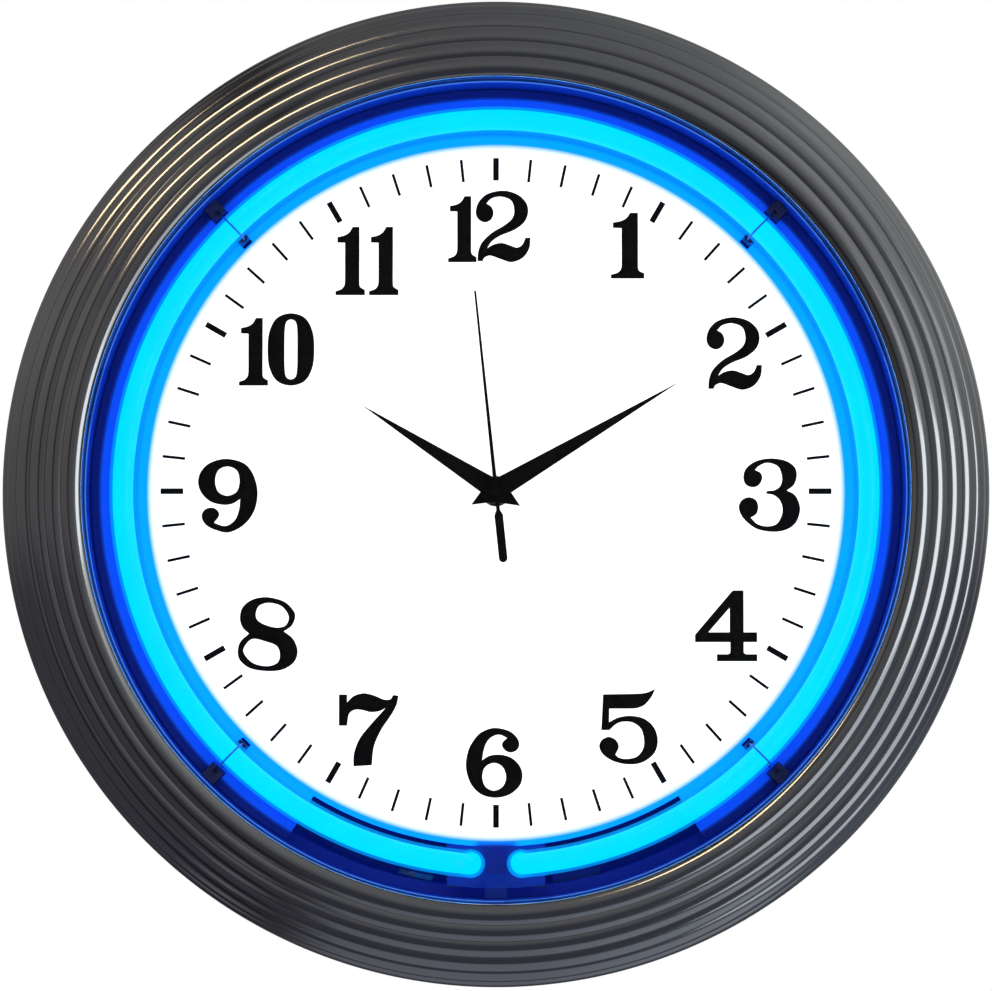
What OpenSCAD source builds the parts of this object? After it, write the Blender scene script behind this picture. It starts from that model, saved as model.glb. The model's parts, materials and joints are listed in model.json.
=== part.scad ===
// Wall clock with a lit glass ring tube, a ribbed metallised rim and a quartz movement.
// Built face up: x to the right of the face, y to twelve o'clock, z out of the wall.
// face() then stands it up, so the dial looks along -Y and twelve o'clock is +Z.

/* [Rim] */
// radius at which the first bead starts
bead_start_r = 159.6; // [158:0.1:162]
// distance of that start from the wall
bead_start_z = 89.4; // [85:0.1:92]
// width of each bead
bead_w = 6.7; // [5:0.1:8]
// height of a bead above the grooves
bead_h = 1.1; // [0.6:0.1:2]
// radius of the hollow behind the beads
hollow_r = 27.2; // [24:0.1:28]
// clear radius inside the front lip
lip_r = 158; // [155:0.1:162]

/* [Face] */
// front of the dial, measured from the wall
dial_z = 66; // [60:0.5:70]
// radius of the dial disc
dial_r = 134.8; // [125:0.1:137]
// outer radius of the hour and minute marks
mark_r = 129.6; // [120:0.1:132]
// length of a mark
mark_l = 8.8; // [6:0.1:12]
// outer radius of the reflector pan
pan_r = 156.6; // [150:0.1:156.6]
// inner radius of the sleeve that holds the lens
sleeve_r = 157.2; // [156:0.1:158.5]

/* [Tube] */
// radius of the ring the tube is bent to
tube_ring_r = 143.6; // [140:0.1:148]
// distance of the ring tube from the wall
tube_z = 72; // [70:0.5:74]
// outer radius of the glass tube
tube_r = 5.2; // [4:0.1:6]

/* [Hands] */
// clock angle of the hour hand
hour_angle = 302.5; // [0:0.5:360]
// clock angle of the minute hand
minute_angle = 59.4; // [0:0.1:360]
// clock angle of the second hand
second_angle = 354; // [0:0.5:360]
// length of the hour hand from its pivot
hour_l = 61.8; // [50:0.5:70]
// length of the minute hand from its pivot
minute_l = 82.5; // [70:0.5:100]
// length of the second hand from its pivot
second_l = 77.2; // [70:0.1:100]

/* [Case] */
// outer radius of the back case
case_r = 156; // [154:0.5:160]
// wall thickness of the back case
case_wall = 2.5; // [2:0.1:3]
// distance of the case's flange front from the wall
flange_z = 44.5; // [40:0.5:48]
// radius of the service opening behind the movement
service_r = 48; // [42:1:52]

/* [Hidden] */
$fn = 96;
GAP = 0.05;
lens_z = 79.8;
lens_t = 3;
lens_r = 166.5;
bead_slopes = [12, 18, 25, 35, 52, 78, 90, 97];
hollow_centre = [159.3, 58.5];
lip_z = 83.5;
lip_roll_r = 2.2;
lip_roll_z = 87.23;
lip_blend = 1.1;
sleeve_screw_r = 171;
case_screw_r = 178;
skirt_r = 186.3;
pan_disc_z = dial_z - 3.5;
pan_floor_z = 57;
pan_post_r = 112;
dial_t = 1.5;
bend_r = 9;
bend_angle = asin((bend_r + 9.65) / tube_ring_r);
leg_x = (bend_r + 9.65) - bend_r * cos(bend_angle);
leg_y = -tube_ring_r * cos(bend_angle) - bend_r * sin(bend_angle);
bulb_r = 6.4;
glass_t = 1;
glass_step = 0.04;
support_angles = [45, 135, 225, 315];
wire_loop_r = tube_r + 0.45;
cut_half = 31;
// quartz movement
move_z0 = 46.5;
move_z1 = 61.5;
move_half = 28;
move_wall = 1.2;
move_in = move_half - move_wall;
bay_y = -12.3;
bay_wall = 0.8;
battery_y = -19.65;
battery_z = 52.6;
plate_z = 54.1;
arbor_fit = 0.05;
pipe_fit = 0.08;
pressure = 25;
third_m = 0.36;
centre_m = 0.34;
step_m = 0.33;
rotor_m = 0.3;
cannon_m = 0.54;
third_a = third_m * (8 + 60) / 2;
step_a = step_m * (10 + 60) / 2;
rotor_a = rotor_m * (8 + 40) / 2;
minute_a = cannon_m * (12 + 36) / 2;
hour_m = 2 * minute_a / (10 + 40);
third_dir = 20;
step_dir = 150;
rotor_dir = 120;
minute_dir = 90;
third_pos = third_a * [cos(third_dir), sin(third_dir)];
step_pos = step_a * [cos(step_dir), sin(step_dir)];
rotor_pos = step_pos + rotor_a * [cos(rotor_dir), sin(rotor_dir)];
minute_pos = minute_a * [cos(minute_dir), sin(minute_dir)];
// controls on the underside of the case
jack_dir = -102;
switch_dir = -78;
pad_r = case_r + 1.5;
inlet_z = 22;
rocker_tilt = 8;

// ---- helpers ----

module face() rotate([90, 0, 0]) children();

module clockwise(angle) rotate([0, 0, -angle]) children();

module ring(r_in, r_out, z0, z1) rotate_extrude() translate([r_in, z0]) square([r_out - r_in, z1 - z0]);

module rod(r, z0, z1) translate([0, 0, z0]) cylinder(r = r, h = z1 - z0);

module slab(x0, x1, y0, y1, z0, z1) translate([x0, y0, z0]) cube([x1 - x0, y1 - y0, z1 - z0]);

module at(p) translate([p[0], p[1], 0]) children();

// a pan head screw pointing along +z, its head behind z = 0
module screw(shank_r, length, head_r, head_h) difference() {
    union() {
        rod(shank_r, -0.01, length);
        rod(head_r, -head_h, 0);
    }
    for (a = [0, 90]) rotate([0, 0, a])
        slab(-head_r * 0.6, head_r * 0.6, -0.35, 0.35, -head_h - 1, -head_h * 0.5);
}

// a wire through a list of points
module wire(points, r) {
    for (i = [0 : len(points) - 2]) {
        v = points[i + 1] - points[i];
        l = norm(v);
        translate(points[i]) rotate([0, acos(v[2] / l), atan2(v[1], v[0])])
            cylinder(r = r, h = l, $fn = 24);
    }
    for (i = [1 : len(points) - 2]) translate(points[i]) sphere(r = r * 1.1, $fn = 24);
}

// ---- toothed wheels ----

function inv(a) = tan(a) - a * PI / 180;

// half the angle a tooth covers at radius r
function tooth_half(m, n, r) =
    90 / n - GAP / (m * n / 2) * 180 / PI
    + (inv(pressure) - inv(acos(min(1, m * n * cos(pressure) / 2 / r)))) * 180 / PI;

function tooth_radii(m, n) = n < 20
    ? [m * (n / 2 - 0.95), m * n * cos(pressure) / 2, m * n / 2, m * (n / 2 + 0.7)]
    : [m * (n / 2 - 0.95), m * n / 2, m * (n / 2 + 0.7)];

function flank(m, n, c, s) =
    [for (r = tooth_radii(m, n)) let (h = tooth_half(m, n, r)) r * [cos(c + s * h), sin(c + s * h)]];

function reversed(v) = [for (i = [len(v) - 1 : -1 : 0]) v[i]];

function gear_points(m, n, phase) =
    [for (i = [0 : n - 1]) let (c = phase + i * 360 / n)
        each concat(flank(m, n, c, -1), reversed(flank(m, n, c, 1)))];

// a spur gear with one tooth centred on the direction phase
module gear(m, n, phase, z0, z1)
    translate([0, 0, z0]) linear_extrude(z1 - z0) polygon(gear_points(m, n, phase));

// phase that puts a gap where a tooth of the neighbour in direction dir reaches in
function gap_phase(n, dir) = dir + 180 + 180 / n;

// ---- front of the clock ----

// groove before bead i, counted from the lip over the shoulder to the skirt
function groove(i) = i == 0
    ? [bead_start_r, bead_start_z]
    : groove(i - 1) + bead_w * [cos(bead_slopes[i - 1]), -sin(bead_slopes[i - 1])];

module rim_section() {
    bead_r = (bead_w * bead_w / 4 + bead_h * bead_h) / (2 * bead_h);
    difference() {
        union() {
            polygon(concat([[lip_r, 56], [lip_r, lip_z]], [for (i = [0 : 8]) groove(i)], [[skirt_r, 56]]));
            for (i = [0 : 7]) translate((groove(i) + groove(i + 1)) / 2)
                rotate(-bead_slopes[i]) translate([0, bead_h - bead_r]) circle(r = bead_r);
            translate([skirt_r, 40]) square([2.5, 16]);
        }
        difference() {
            translate(hollow_centre) circle(r = hollow_r);
            translate([lip_r, lip_z]) square([9, 4]);
        }
        square([lip_r, 100]);
        square([skirt_r, 50]);
        difference() {
            translate([lip_r - 1, lip_roll_z]) square([1 + lip_blend, 5]);
            translate([lip_r + lip_roll_r, lip_roll_z]) circle(r = lip_roll_r);
        }
    }
}

module bezel() color([0.30, 0.31, 0.33]) face() difference() {
    union() {
        rotate_extrude() rim_section();
        for (i = [0 : 5]) clockwise(i * 60 + 30) translate([0, sleeve_screw_r, 0]) rod(2.9, lens_z, lip_z);
        for (i = [0 : 7]) clockwise(i * 45 + 22.5) translate([0, case_screw_r, 0]) rod(4, flange_z, 77);
    }
    for (i = [0 : 5]) clockwise(i * 60 + 30)
        translate([0, sleeve_screw_r, 0]) rod(1.3, lens_z - 1, lens_z + 3);
    for (i = [0 : 7]) clockwise(i * 45 + 22.5)
        translate([0, case_screw_r, 0]) rod(1.6, flange_z - 1, flange_z + 14);
}

module lens() color([0.85, 0.9, 0.95, 0.3]) face() rod(lens_r, lens_z, lens_z + lens_t);

module lens_gasket() color([0.05, 0.05, 0.06]) face() ring(lip_r + 0.6, lens_r, lens_z + lens_t, lip_z);

module inner_sleeve() color([0.10, 0.20, 0.55]) face() difference() {
    union() {
        ring(sleeve_r, sleeve_r + 1.8, 61, lens_z);
        ring(sleeve_r, sleeve_screw_r + 4, lens_z - 1.9, lens_z);
    }
    for (i = [0 : 5]) clockwise(i * 60 + 30)
        translate([0, sleeve_screw_r, 0]) rod(1.7, lens_z - 3, lens_z + 1);
}

module sleeve_screws() color([0.75, 0.76, 0.78]) face()
    for (i = [0 : 5]) clockwise(i * 60 + 30)
        translate([0, sleeve_screw_r, lens_z - 1.9]) screw(1.3, 4.5, 2.6, 1.8);

// ---- pan, dial and marks ----

// sector of a ring between two clock angles
module sector(r_in, r_out, z0, z1, from, to)
    rotate([0, 0, 90 - to]) rotate_extrude(angle = to - from)
        translate([r_in, z0]) square([r_out - r_in, z1 - z0]);

module reflector_pan() color([0.30, 0.55, 0.95]) face() difference() {
    rotate_extrude() polygon([
        [4.4, pan_disc_z + 2], [134.4, pan_disc_z + 2], [134.4, pan_floor_z + 2], [147.4, pan_floor_z + 2],
        [152.8, pan_floor_z + 6.6], [pan_r, pan_floor_z + 6.6], [pan_r, pan_floor_z + 4.2],
        [148.3, pan_floor_z], [132.4, pan_floor_z], [132.4, pan_disc_z], [4.4, pan_disc_z]]);
    sector(137.0, pan_r + 1, pan_floor_z - 1, dial_z, 180 + 1.6, 180 + cut_half);
    sector(137.0, pan_r + 1, pan_floor_z - 1, dial_z, 180 - cut_half, 180 - 1.6);
    for (a = support_angles) clockwise(a) {
        slab(-3.3, 3.3, 150.6, pan_r + 1, pan_floor_z - 1, dial_z);
        slab(-2.2, 2.2, 136.2, 140.4, pan_floor_z - 1, pan_floor_z + 3);
        at([0, tube_ring_r + wire_loop_r]) rod(0.8, pan_floor_z - 1, pan_floor_z + 6);
        at([0, pan_post_r]) rod(1.8, pan_disc_z - 1, dial_z);
        at([0, pan_post_r]) translate([0, 0, pan_disc_z + 0.6]) cylinder(r1 = 1.8, r2 = 3.6, h = 1.41);
    }
}

module pan_screws() color([0.75, 0.76, 0.78]) face()
    for (a = support_angles) clockwise(a) at([0, pan_post_r]) {
        difference() {
            union() {
                rod(1.5, pan_disc_z - 9, pan_disc_z + 1);
                translate([0, 0, pan_disc_z + 0.6]) cylinder(r1 = 1.7, r2 = 3.3, h = 1.3);
            }
            for (t = [0, 90]) rotate([0, 0, t]) slab(-1.9, 1.9, -0.35, 0.35, pan_disc_z + 1.2, pan_disc_z + 3);
        }
    }

module dial() color([0.97, 0.97, 0.96]) face() ring(4.2, dial_r, dial_z - dial_t, dial_z);

module dial_marks() color([0.02, 0.02, 0.02]) face() for (i = [0 : 59]) {
    half = i % 5 == 0 ? 1.1 : 0.55;
    clockwise(i * 6) slab(-half, half, mark_r - mark_l, mark_r, dial_z, dial_z + 0.1);
}

// ---- lit tube ----

// the wall of the tube; each part down the leg is thicker by one step, as worked glass is
module tube_section(step) difference() {
    circle(r = tube_r + step);
    circle(r = tube_r - glass_t - step);
}

// quarter bend from the ring into the leg, turning towards the wall
module tube_bend() rotate([0, 0, -90 + bend_angle]) translate([tube_ring_r, 0, tube_z - bend_r])
    rotate([180, -90, 0]) rotate([0, 0, -2]) rotate_extrude(angle = 92)
        translate([bend_r, 0]) tube_section(glass_step);

// leg with the wider bulb that holds the electrode
module tube_leg() {
    r_out = tube_r + 2 * glass_step;
    r_in = tube_r - glass_t - 2 * glass_step;
    top = tube_z - bend_r + 0.3;
    at([leg_x, leg_y]) rotate_extrude() polygon([
        [r_out, top], [r_out, 46], [bulb_r, 43], [bulb_r, 20],
        [bulb_r - glass_t, 20], [bulb_r - glass_t, 43], [r_in, 46], [r_in, top]]);
}

module neon_tube() color([0.1, 0.9, 1.0]) face() {
    rotate([0, 0, -90 + bend_angle]) rotate_extrude(angle = 360 - 2 * bend_angle)
        translate([tube_ring_r, tube_z]) tube_section(0);
    for (side = [0, 1]) mirror([side, 0, 0]) {
        tube_bend();
        tube_leg();
    }
}

// metal cup, glass stem and the two lead-in wires
module electrode(side) color([0.6, 0.6, 0.58]) face() mirror([side, 0, 0]) at([leg_x, leg_y]) {
    difference() {
        rod(4.4, 24, 40);
        rod(3.8, 25.5, 41);
    }
    rod(bulb_r - glass_t - 0.05, 20.2, 22.4);
    rod(1.4, 22.3, 24.2);
    for (x = [-1.2, 1.2]) translate([x, 0, 0]) rod(0.4, 14, 20.4);
}

module electrode_left() electrode(1);

module electrode_right() electrode(0);

module boot(side) color([0.05, 0.05, 0.06]) face() mirror([side, 0, 0]) at([leg_x, leg_y]) difference() {
    rod(8, 9, 30);
    rod(bulb_r + 0.05, 13.5, 31);
    rod(1.7, 8, 14);
}

module boot_left() boot(1);

module boot_right() boot(0);

module high_voltage_lead(side) color([0.75, 0.75, 0.72]) face() mirror([side, 0, 0])
    wire([[leg_x, leg_y, 13.4], [leg_x, leg_y, 6.2], [leg_x + 4, -130, 6.2],
          [24, -124, 14], [24, -117, 14]], 1.6);

module high_voltage_lead_left() high_voltage_lead(1);

module high_voltage_lead_right() high_voltage_lead(0);

module electrode_holder() color([0.10, 0.12, 0.2]) face() difference() {
    slab(-19, 19, -152.6, -135, 50, pan_floor_z);
    for (s = [-1, 1]) at([s * leg_x, leg_y]) rod(tube_r + 0.3, 49, pan_floor_z + 1);
}

// block outside the tube with two fingers, and a small hook inside it
module tube_support() {
    difference() {
        union() {
            slab(-3, 3, 151, 156.8, 52, 69);
            slab(-3, 3, 137.4, 156.8, 52, pan_floor_z - 0.05);
            slab(-1.9, 1.9, 137.2, 139.4, 55, 69.5);
        }
        translate([-10, tube_ring_r, tube_z]) rotate([0, 90, 0]) cylinder(r = tube_r + 0.1, h = 20);
        at([0, tube_ring_r + wire_loop_r]) rod(0.46, 53, pan_floor_z + 1);
        slab(-0.9, 0.9, 130, 138.6, 66.5, 75);
        slab(-0.9, 0.9, 149, 153.4, 66, 75);
    }
}

module tube_support_1() color([0.08, 0.09, 0.13]) face() clockwise(support_angles[0]) tube_support();

module tube_support_2() color([0.08, 0.09, 0.13]) face() clockwise(support_angles[1]) tube_support();

module tube_support_3() color([0.08, 0.09, 0.13]) face() clockwise(support_angles[2]) tube_support();

module tube_support_4() color([0.08, 0.09, 0.13]) face() clockwise(support_angles[3]) tube_support();

// one wire arched over the tube at each support, its ends down beside the tube
module tie_wires() color([0.2, 0.3, 0.5]) face() for (a = support_angles) clockwise(a) {
    translate([0, tube_ring_r, tube_z]) rotate([0, 0, 90]) rotate([90, 0, 0])
        rotate_extrude(angle = 180) translate([wire_loop_r, 0]) circle(r = 0.35, $fn = 24);
    at([0, tube_ring_r + wire_loop_r]) rod(0.38, 53.5, tube_z + 0.1);
    at([0, tube_ring_r - wire_loop_r]) rod(0.38, 67, tube_z + 0.1);
}

// ---- back case and its fittings ----

module keyhole(z0, z1, head, neck) {
    rod(head, z0, z1);
    translate([0, 9, 0]) rod(neck, z0, z1);
    slab(-neck, neck, 0, 9, z0, z1);
}

module in_wall(dir) rotate([0, 0, dir]) translate([pad_r, 0, inlet_z]) rotate([0, 90, 0]) children();

module back_case() color([0.06, 0.06, 0.07]) face() difference() {
    union() {
        rotate_extrude() polygon([
            [service_r, 0], [case_r, 0], [case_r, flange_z - 2.5],
            [185.5, flange_z - 2.5], [185.5, flange_z],
            [case_r - case_wall, flange_z], [case_r - case_wall, case_wall], [service_r + 2, case_wall],
            [service_r + 2, 6], [service_r, 6]]);
        for (a = support_angles) clockwise(a) at([0, pan_post_r]) rod(4.5, 2, pan_disc_z);
        for (dir = [jack_dir, switch_dir]) rotate([0, 0, dir])
            slab(case_r - 2, pad_r, -13, 13, inlet_z - 9.5, inlet_z + 9.5);
        for (x = [-58, 58]) at([x, -96]) rod(4, 2, 6);
    }
    for (a = support_angles) clockwise(a) at([0, pan_post_r]) rod(1.5, pan_disc_z - 14, pan_disc_z + 1);
    for (i = [0 : 7]) clockwise(i * 45 + 22.5) at([0, case_screw_r]) rod(2.1, flange_z - 4, flange_z + 1);
    for (x = [-58, 58]) at([x, -96]) rod(1.3, 2.6, 7);
    at([0, 100]) {
        slab(-9, 9, -9, 15, -1, 3);
        for (x = [-19, 19]) at([x, 3]) rod(1.6, -1, 3);
    }
    in_wall(jack_dir) rod(5.05, -8, 1);
    in_wall(switch_dir) slab(-6.4, 6.4, -9.5, 9.5, -8, 1);
}

module case_screws() color([0.12, 0.12, 0.13]) face()
    for (i = [0 : 7]) clockwise(i * 45 + 22.5)
        translate([0, case_screw_r, flange_z - 2.5]) screw(1.6, 14, 3.4, 2.2);

module hanger_plate() color([0.7, 0.7, 0.7]) face() at([0, 100]) difference() {
    slab(-24, 24, -12, 18, case_wall, case_wall + 1.5);
    keyhole(0, 6, 5.5, 2.5);
    for (x = [-19, 19]) at([x, 3]) rod(1.6, 0, 6);
}

module hanger_rivets() color([0.8, 0.8, 0.8]) face() at([0, 100]) for (x = [-19, 19]) at([x, 3]) {
    rod(1.6, 0.4, 4.6);
    rod(3, case_wall + 1.5, 5);
}

module supply_base() color([0.08, 0.08, 0.09]) face() difference() {
    union() {
        slab(-50, 50, -118, -74, case_wall, 20);
        slab(-63, 63, -101, -91, 6, 8);
    }
    slab(-48, 48, -116, -76, 4.5, 21);
    for (x = [-58, 58]) at([x, -96]) rod(1.9, 5, 9);
    for (x = [-24, 24]) translate([x, -115, 14]) rotate([90, 0, 0]) cylinder(r = 1.8, h = 4);
}

module supply_cover() color([0.10, 0.10, 0.11]) face() difference() {
    slab(-50, 50, -118, -74, 20, 38);
    slab(-48, 48, -116, -76, 19, 36);
    for (i = [-3 : 3]) slab(i * 10 - 1, i * 10 + 1, -108, -84, 35, 39);
}

// ferrite core around a two section winding
module supply_transformer() color([0.55, 0.3, 0.12]) face() {
    difference() {
        slab(-18, 18, -110, -82, 6, 26);
        slab(-12, 12, -104, -88, 5, 27);
    }
    difference() {
        slab(-11.5, 11.5, -103.5, -88.5, 4.6, 30);
        slab(-20, 20, -103, -89, 15, 16);
    }
}

module supply_screws() color([0.75, 0.76, 0.78]) face()
    for (x = [-58, 58]) translate([x, -96, 8]) rotate([180, 0, 0]) screw(1.3, 5, 3, 1.8);

module power_jack() color([0.05, 0.05, 0.05]) face() in_wall(jack_dir) difference() {
    union() {
        rod(6.8, 0, 1.2);
        rod(5, -9, 0.1);
        rod(5.4, -14, -8.2);
    }
    difference() {
        rod(2.8, -9.5, 2);
        rod(1.0, -10, -0.5);
    }
}

module power_jack_nut() color([0.78, 0.78, 0.78]) face() in_wall(jack_dir) difference() {
    translate([0, 0, -6.4]) cylinder(r = 8, h = 2, $fn = 6);
    rod(5, -8, 0);
}

module low_voltage_leads() color([0.45, 0.02, 0.02]) face() {
    wire([[-29.5, -139.1, 22], [-32, -131, 18], [-36, -124, 14], [-36, -118.1, 14]], 1.1);
    wire([[29.5, -139.1, 22], [32, -131, 18], [36, -124, 14], [36, -118.1, 14]], 1.1);
}

module switch_body() color([0.05, 0.05, 0.05]) face() in_wall(switch_dir) difference() {
    union() {
        slab(-7.6, 7.6, -11, 11, 0, 1.2);
        slab(-6.3, 6.3, -9.4, 9.4, -13, 0.1);
    }
    slab(-4.9, 4.9, -8.4, 8.4, -10, 2);
    rotate([0, 90, 0]) translate([0, 0, -5.6]) cylinder(r = 1.25, h = 11.2);
}

module switch_rocker() color([0.5, 0.03, 0.03]) face() in_wall(switch_dir) rotate([-rocker_tilt, 0, 0]) {
    rotate([90, 0, 90]) translate([0, 0, -4.6]) linear_extrude(9.2)
        polygon([[-7.2, 3], [0, 1.9], [7.2, 3], [6.6, -2], [2.5, -5], [-2.5, -5], [-6.6, -2]]);
    rotate([0, 90, 0]) translate([0, 0, -5.5]) cylinder(r = 1.2, h = 11);
}

// ---- movement ----

module movement_front() color([0.09, 0.09, 0.10]) face() difference() {
    union() {
        slab(-move_half, move_half, -move_half, move_half, 49.5, move_z1);
        rod(3.95, move_z1 - 0.1, 69.6);
    }
    slab(-move_in, move_in, bay_y + bay_wall, move_in, 49, move_z1 - move_wall);
    slab(-move_in, move_in, -move_in, bay_y, 49, move_z1 - move_wall);
    rod(2.55 + pipe_fit, 58, 71);
    at(minute_pos) rod(0.7 + arbor_fit, 59, move_z1 - move_wall + 0.6);
}

module movement_back() color([0.12, 0.12, 0.13]) face() difference() {
    slab(-move_half, move_half, -move_half, move_half, move_z0, 49.45);
    slab(-move_in, move_in, bay_y + bay_wall, move_in, move_z0 + move_wall, 50);
    slab(-move_half + move_wall, move_half - move_wall, -move_half + move_wall, bay_y, move_z0 - 1, 50);
    rod(0.5 + arbor_fit, 46.9, 50);
    at(third_pos) rod(0.4 + arbor_fit, 46.9, 50);
    at(step_pos) rod(0.4 + arbor_fit, 46.9, 50);
    at(rotor_pos) rod(0.35 + arbor_fit, 46.9, 50);
    at(minute_pos) rod(0.7 + arbor_fit, 46, 50);
}

module movement_plate() color([0.75, 0.75, 0.72]) face() difference() {
    slab(-26.75, 26.75, bay_y + bay_wall + 0.05, 17.6, plate_z, plate_z + 1);
    rod(1.6 + pipe_fit, plate_z - 1, plate_z + 2);
    at(third_pos) rod(0.4 + arbor_fit, plate_z - 1, plate_z + 0.7);
    at(step_pos) rod(0.4 + arbor_fit, plate_z - 1, plate_z + 0.7);
    at(rotor_pos) rod(0.35 + arbor_fit, plate_z - 1, plate_z + 0.7);
    at(minute_pos) rod(0.7 + arbor_fit, plate_z - 1, plate_z + 2);
}

module mounting_washer() color([0.04, 0.04, 0.04]) face() ring(4, 11, move_z1, pan_disc_z);

module dial_washer() color([0.05, 0.05, 0.05]) face() ring(4.05, 5.9, dial_z, dial_z + 0.5);

module dial_nut() color([0.05, 0.05, 0.05]) face() difference() {
    translate([0, 0, dial_z + 0.5]) cylinder(r = 5.7, h = 2.2, $fn = 6);
    rod(4, dial_z, dial_z + 4);
}

module circuit_board() color([0.05, 0.3, 0.12]) face() {
    slab(6.5, 26.4, 17.8, 26.4, 48, 48.8);
    translate([23, 20, 0]) rod(2, 48.75, 49.6);
}

module crystal() color([0.8, 0.8, 0.82]) face() translate([9, 23.4, 49.9]) rotate([0, 90, 0]) {
    rod(1, 0, 6);
    for (y = [-0.35, 0.35]) translate([0, y, 0]) rod(0.15, 5.9, 9);
}

module coil() color([0.7, 0.35, 0.15]) face() translate([0, 21.5, 52.6]) rotate([0, 90, 0]) difference() {
    union() {
        rod(2.6, -16.5, 3.5);
        rod(3.1, -17, -16);
        rod(3.1, 3, 4);
    }
    rod(1.45, -18, 5);
}

module stator() color([0.6, 0.6, 0.62]) face() difference() {
    union() {
        slab(-20, -8.5, 8.2, 16.8, 52.2, 53);
        slab(-22, -19, 8.2, 22.5, 52.2, 53);
        slab(-8.6, 8, 15, 17, 52.2, 53);
        slab(6, 8, 15, 22.5, 52.2, 53);
        slab(-22, 8, 20.5, 22.5, 52.2, 53);
    }
    at(rotor_pos) rod(3.1, 52, 54);
}

module rotor() color([0.35, 0.35, 0.38]) face() at(rotor_pos) {
    rod(0.35, 47, plate_z + 0.6);
    gear(rotor_m, 8, rotor_dir + 180, 50.1, 51.6);
    rod(2.6, 51.5, 53.7);
}

module step_wheel() color([0.9, 0.9, 0.85]) face() at(step_pos) {
    rod(0.4, 47, plate_z + 0.6);
    gear(step_m, 10, step_dir + 180, 48.4, 50.5);
    gear(rotor_m, 40, gap_phase(40, rotor_dir + 180), 50.4, 51.2);
}

module second_wheel() color([0.9, 0.9, 0.85]) face() {
    rod(0.5, 47, 75.8);
    gear(step_m, 60, gap_phase(60, step_dir + 180), 48.7, 49.7);
    gear(third_m, 8, third_dir, 49.6, 51.8);
}

module third_wheel() color([0.9, 0.9, 0.85]) face() at(third_pos) {
    rod(0.4, 47, plate_z + 0.6);
    gear(third_m, 60, gap_phase(60, third_dir), 50.4, 51.2);
    gear(centre_m, 8, third_dir + 180, 51.1, 53.4);
}

module centre_wheel() color([0.9, 0.9, 0.85]) face() difference() {
    union() {
        gear(centre_m, 64, gap_phase(64, third_dir + 180), 52.2, 53);
        rod(1.6, 52, 74);
        gear(cannon_m, 12, minute_dir, 56.6, 58.3);
    }
    rod(0.5 + pipe_fit, 51, 75);
}

module minute_wheel() color([0.9, 0.9, 0.85]) face() at(minute_pos) {
    rod(0.7, 43.8, 60.8);
    gear(cannon_m, 36, gap_phase(36, minute_dir), 56.9, 57.9);
    gear(hour_m, 10, minute_dir + 180, 57.8, 59.9);
}

module setting_knob() color([0.85, 0.85, 0.82]) face() at(minute_pos) difference() {
    rod(6, 43.3, 46.1);
    for (i = [0 : 23]) rotate([0, 0, i * 15]) translate([6.2, 0, 0]) rod(0.45, 43, 47, $fn = 16);
    rod(0.7, 43.8, 47);
}

module hour_wheel() color([0.9, 0.9, 0.85]) face() difference() {
    union() {
        gear(hour_m, 40, gap_phase(40, minute_dir + 180), 58.6, 59.5);
        rod(2.55, 58.6, 71.7);
    }
    rod(1.6 + pipe_fit, 58, 72);
}

module battery() color([0.10, 0.25, 0.5]) face() translate([0, battery_y, battery_z]) rotate([0, 90, 0]) {
    rod(7.1, -24.6, 24.2);
    rod(2.7, 24.1, 25.6);
}

module battery_contacts() color([0.8, 0.8, 0.8]) face() {
    slab(-26.6, -26.1, -25, -14.5, 48, 58);
    slab(26.1, 26.6, -25, -14.5, 48, 58);
    translate([0, battery_y, battery_z]) rotate([0, 90, 0]) rod(3, -26.2, -24.7);
    translate([0, battery_y, battery_z]) rotate([0, 90, 0]) rod(2, 25.7, 26.2);
}

// ---- hands ----

module lance(length, half, tail) polygon([[0, length], [half, -1.6], [0, -tail], [-half, -1.6]]);

module hour_hand() color([0.02, 0.02, 0.02]) face() clockwise(hour_angle) difference() {
    union() {
        translate([0, 0, 70.5]) linear_extrude(0.5) lance(hour_l, 4.1, 11.1);
        rod(3.4, 70, 71.5);
    }
    rod(2.55, 69, 73);
}

module minute_hand() color([0.02, 0.02, 0.02]) face() clockwise(minute_angle) difference() {
    union() {
        translate([0, 0, 72.8]) linear_extrude(0.5) lance(minute_l, 4.1, 11.1);
        rod(3, 72.3, 73.8);
    }
    rod(1.6, 72, 75);
}

module second_hand() color([0.02, 0.02, 0.02]) face() clockwise(second_angle) difference() {
    union() {
        translate([0, 0, 75]) linear_extrude(0.4)
            polygon([[-0.4, second_l], [0.4, second_l], [0.75, 0], [0.7, -7.8], [1.65, -9.8], [1.65, -26.4],
                [-1.65, -26.4], [-1.65, -9.8], [-0.7, -7.8], [-0.75, 0]]);
        translate([0, -26.4, 0]) rod(1.65, 75, 75.4);
        rod(2.2, 74.4, 76.3);
    }
    rod(0.5, 74, 75.8);
}

bezel();
lens();
lens_gasket();
inner_sleeve();
sleeve_screws();
reflector_pan();
pan_screws();
dial();
dial_marks();
neon_tube();
electrode_left();
electrode_right();
boot_left();
boot_right();
high_voltage_lead_left();
high_voltage_lead_right();
electrode_holder();
tube_support_1();
tube_support_2();
tube_support_3();
tube_support_4();
tie_wires();
back_case();
case_screws();
hanger_plate();
hanger_rivets();
supply_base();
supply_cover();
supply_transformer();
supply_screws();
power_jack();
power_jack_nut();
low_voltage_leads();
switch_body();
switch_rocker();
movement_front();
movement_back();
movement_plate();
mounting_washer();
dial_washer();
dial_nut();
circuit_board();
crystal();
coil();
stator();
rotor();
step_wheel();
second_wheel();
third_wheel();
centre_wheel();
minute_wheel();
setting_knob();
hour_wheel();
battery();
battery_contacts();
hour_hand();
minute_hand();
second_hand();
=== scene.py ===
"""Looks of the lit ring tube wall clock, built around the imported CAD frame."""

import json
import math

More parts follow.
